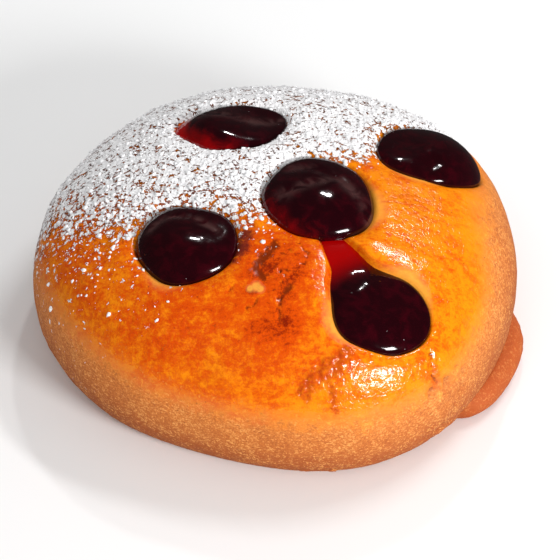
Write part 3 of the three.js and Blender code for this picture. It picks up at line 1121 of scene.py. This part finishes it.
SUGAR_SEED = 11
STEEP = (0.2, 0.5)  # upward part of a slope's normal where sugar slides off, and where it stays
PATCHES = (3.5 * MM, 3, 9)  # size, octaves and seed of the noise that gathers clumps
PATCH_LEVEL = 0.5  # how far it gathers them
PATCH_END = 1.3  # cover at which it no longer would
LEAST_LEVEL = 0.1  # cover below which no clump stays
CLUMP_SPREAD = 0.45  # of the logarithm of a clump's radius
CLUMP_LIMITS = (-0.9, 0.6)
GRAIN_SPREAD = 0.35
GRAIN_FLATNESS = 0.9


def landing_places(draw, tries, dough, margin=1.05):
    """Random places on the crust from above, with the crust's normal there and the sugar's cover."""
    crust = bpy.data.objects["brioche_dough"]
    tree = BVHTree.FromObject(crust, bpy.context.evaluated_depsgraph_get())
    reach = dough.girth_radius * margin
    plan = draw.uniform(-reach, reach, (tries, 2))
    cover = sugar_cover(plan[:, 0], plan[:, 1])
    down = Vector((0, 0, -1))
    found = []
    for x, y, part in np.column_stack((plan, cover))[cover > 0].tolist():
        place, normal, _, _ = tree.ray_cast(Vector((x, y, dough.height * 2)), down)
        if place:
            found.append((*place, *normal, part))
    found = np.array(found)
    return found[:, :3], found[:, 3:6], found[:, 6] * smoothstep(found[:, 5], *STEEP)


def spread_apart(places, spacing):
    """Which of the places keep a distance from all that were kept before them."""
    cells = {}
    kept = []
    for index, (x, y, z) in enumerate(places.tolist()):
        column, row = int(x // spacing), int(y // spacing)
        around = [cells.get((column + i, row + j), ()) for i in (-1, 0, 1) for j in (-1, 0, 1)]
        if all(math.dist((x, y, z), other) > spacing for others in around for other in others):
            cells.setdefault((column, row), []).append((x, y, z))
            kept.append(index)
    return np.array(kept)


def scattered(name, draw, places, normals, radii, flatness, uneven=(0.5, 1.4), stretch=(1, 1.45), lift=0.4):
    """One mesh of many small uneven lumps that lie on a surface."""
    bm = bmesh.new()
    bmesh.ops.create_icosphere(bm, subdivisions=1, radius=1)
    lump = np.array([vert.co[:] for vert in bm.verts])
    faces = np.array([[vert.index for vert in face.verts] for face in bm.faces])
    bm.free()
    count = len(places)
    shapes = lump[None] * draw.uniform(*uneven, (count, len(lump), 1)) * radii[:, None, None]
    turn = draw.uniform(0, 2 * math.pi, count)
    side = np.cross(normals, np.column_stack((np.cos(turn), np.sin(turn), np.zeros(count))))
    side /= np.linalg.norm(side, axis=1)[:, None]
    other = np.cross(normals, side)
    longer = draw.uniform(*stretch, count)[:, None]
    axes = np.stack((side * longer, other / longer ** 0.5, normals * flatness), axis=1)
    middles = places + normals * (radii * flatness * lift)[:, None]
    verts = np.einsum("nvi,nij->nvj", shapes, axes) + middles[:, None]
    corners = (faces[None] + (np.arange(count) * len(lump))[:, None, None]).ravel()
    mesh = bpy.data.meshes.new(name)
    mesh.vertices.add(count * len(lump))
    mesh.vertices.foreach_set("co", verts.astype(np.float32).ravel())
    mesh.loops.add(len(corners))
    mesh.loops.foreach_set("vertex_index", corners.astype(np.int32))
    mesh.polygons.add(len(corners) // 3)
    mesh.polygons.foreach_set("loop_start", np.arange(0, len(corners), 3, dtype=np.int32))
    mesh.update(calc_edges=True)
    mesh.validate()
    return mesh


class BRIOCHE_OT_sugar(bpy.types.Operator):
    """Dust the back of the crust with clumps and grains of sugar"""

    bl_idname = "brioche.sugar"
    bl_label = "Dusting of sugar"

    def execute(self, context):
        dough = context.scene.brioche_dough
        sugar = context.scene.brioche_sugar
        draw = np.random.default_rng(SUGAR_SEED)
        finish = sugar_finish(sugar)
        places, normals, cover = landing_places(draw, sugar.clump_tries, dough)
        patch = fractal(places, *PATCHES) * PATCH_LEVEL
        fits = cover + patch * (PATCH_END - cover) > draw.uniform(LEAST_LEVEL, 1.0, len(cover))
        places, normals = places[fits], normals[fits]
        kept = spread_apart(places, sugar.clump_spacing)
        radii = sugar.clump_radius * np.exp(np.clip(draw.normal(0, CLUMP_SPREAD, len(kept)), *CLUMP_LIMITS))
        clumps = scattered("sugar_clumps", draw, places[kept], normals[kept], radii, sugar.flatness)
        add_piece(clumps, finish)
        places, normals, cover = landing_places(draw, sugar.grain_tries, dough)
        fits = cover > draw.uniform(0, 1, len(cover))
        places, normals = places[fits], normals[fits]
        radii = sugar.grain_radius * np.exp(draw.normal(0, GRAIN_SPREAD, len(places)))
        grains = scattered("sugar_grains", draw, places, normals, radii, GRAIN_FLATNESS)
        add_piece(grains, finish)
        return {"FINISHED"}


# Stage

# Lights: place, width and height in metres, and the pieces that some of them light. The key shows in the
# filling as small highlights and would veil the crust, and the strip shows in the crust alone.
KEY = ((0.092, 0.512, 0.60), 0.035, 0.035)
STRIP = ((0.334, 0.299, 0.664), 0.30, 0.055)
FILL = ((-0.3, -0.8, 0.8), 0.9, 0.9)
FRONT_LIGHT = ((0.56, -0.68, 0.42), 0.30, 0.16)
CRUST = ("brioche_dough",)
SUGAR_AND_FLOOR = ("sugar_clumps", "sugar_grains", "floor")
JELLIES = tuple(well.node.replace("filling", "jelly") for well in WELLS)
SENSOR_WIDTH = 36


def area_light(name, place, width, height, power, glossy=True, lit=()):
    """A light that faces the bun, shows in glossy surfaces or not, and lights all objects or only some."""
    light = bpy.data.lights.new(name, "AREA")
    light.shape = "RECTANGLE"
    light.size = width
    light.size_y = height
    light.energy = power
    lamp = bpy.data.objects.new(name, light)
    lamp.location = place
    lamp.rotation_euler = (-Vector(place)).to_track_quat("-Z", "Y").to_euler()
    lamp.visible_glossy = glossy
    bpy.context.collection.objects.link(lamp)
    if lit:
        receivers = bpy.data.collections.new("lit_by_" + name)
        for receiver in lit:
            receivers.objects.link(bpy.data.objects[receiver])
        lamp.light_linking.receiver_collection = receivers


class BRIOCHE_OT_stage(bpy.types.Operator):
    """Set up the floor, the lights and the camera"""

    bl_idname = "brioche.stage"
    bl_label = "Stage"

    def execute(self, context):
        stage = context.scene.brioche_stage
        bm = bmesh.new()
        bmesh.ops.create_grid(bm, x_segments=1, y_segments=1, size=stage.floor_width / 2)
        mesh = mesh_from(bm, "floor")
        mesh.materials.append(floor_finish(stage))
        floor = bpy.data.objects.new("floor", mesh)
        context.collection.objects.link(floor)
        floor.visible_glossy = False
        area_light("key", *KEY, stage.key_power, lit=JELLIES + SUGAR_AND_FLOOR)
        area_light("key_on_crust", *KEY, stage.key_power, glossy=False, lit=CRUST)
        area_light("strip", *STRIP, stage.strip_power, lit=CRUST + SUGAR_AND_FLOOR)
        area_light("fill", *FILL, stage.fill_power, glossy=False)
        area_light("front", *FRONT_LIGHT, stage.front_power)
        self.make_sky(context.scene, stage)
        self.make_camera(context.scene, stage)
        context.scene.view_settings.view_transform = "Standard"
        return {"FINISHED"}

    @staticmethod
    def make_sky(scene, stage):
        """Even light from all round, with a white backdrop and weak reflections."""
        sky = Nodes(bpy.data.worlds.new("sky"))
        seen = sky.node("LightPath", output="Is Camera Ray")
        glossy = sky.node("LightPath", output="Is Glossy Ray")
        light = glossy * (stage.gleam - stage.sky) + stage.sky
        strength = seen + (1 - seen) * light
        shader = sky.node("Background", None, {"Color": (1, 1, 1), "Strength": strength})
        sky.node("OutputWorld", None, {"Surface": shader})
        scene.world = sky.owner

    @staticmethod
    def make_camera(scene, stage):
        """The camera, which looks along +Y from above."""
        data = bpy.data.cameras.new("camera")
        data.sensor_width = SENSOR_WIDTH
        data.lens = stage.focal_length
        camera = bpy.data.objects.new("camera", data)
        back = Vector((0, -math.cos(stage.elevation), math.sin(stage.elevation)))
        camera.location = Vector((stage.target_x, 0, stage.target_z)) + back * stage.distance
        camera.rotation_euler = (math.pi / 2 - stage.elevation, 0, 0)
        scene.collection.objects.link(camera)
        scene.camera = camera


class BRIOCHE_PT_panel(bpy.types.Panel):
    """Lists the pieces of the brioche and their settings"""

    bl_idname = "BRIOCHE_PT_panel"
    bl_label = "Cherry brioche"
    bl_space_type = "VIEW_3D"
    bl_region_type = "UI"
    bl_category = "Brioche"

    def draw(self, context):
        for operator, group in PIECES:
            box = self.layout.box()
            box.operator(operator.bl_idname)
            settings = getattr(context.scene, group)
            for name in settings.bl_rna.properties.keys():
                if name not in ("rna_type", "name"):
                    box.prop(settings, name)


PIECES = (
    (BRIOCHE_OT_dough, "brioche_dough"),
    (BRIOCHE_OT_filling, "brioche_filling"),
    (BRIOCHE_OT_sugar, "brioche_sugar"),
    (BRIOCHE_OT_stage, "brioche_stage"),
)
GROUPS = {
    "brioche_dough": BriocheDough,
    "brioche_filling": BriocheFilling,
    "brioche_sugar": BriocheSugar,
    "brioche_stage": BriocheStage,
}
CLASSES = (*GROUPS.values(), *(operator for operator, _ in PIECES), BRIOCHE_PT_panel)


def register():
    for cls in CLASSES:
        bpy.utils.register_class(cls)
    for name, group in GROUPS.items():
        setattr(bpy.types.Scene, name, PointerProperty(type=group))


def unregister():
    for name in GROUPS:
        delattr(bpy.types.Scene, name)
    for cls in reversed(CLASSES):
        bpy.utils.unregister_class(cls)


def main():
    register()
    bpy.ops.brioche.dough()
    bpy.ops.brioche.filling()
    bpy.ops.brioche.sugar()
    bpy.ops.brioche.stage()


if __name__ == "__main__":
    main()
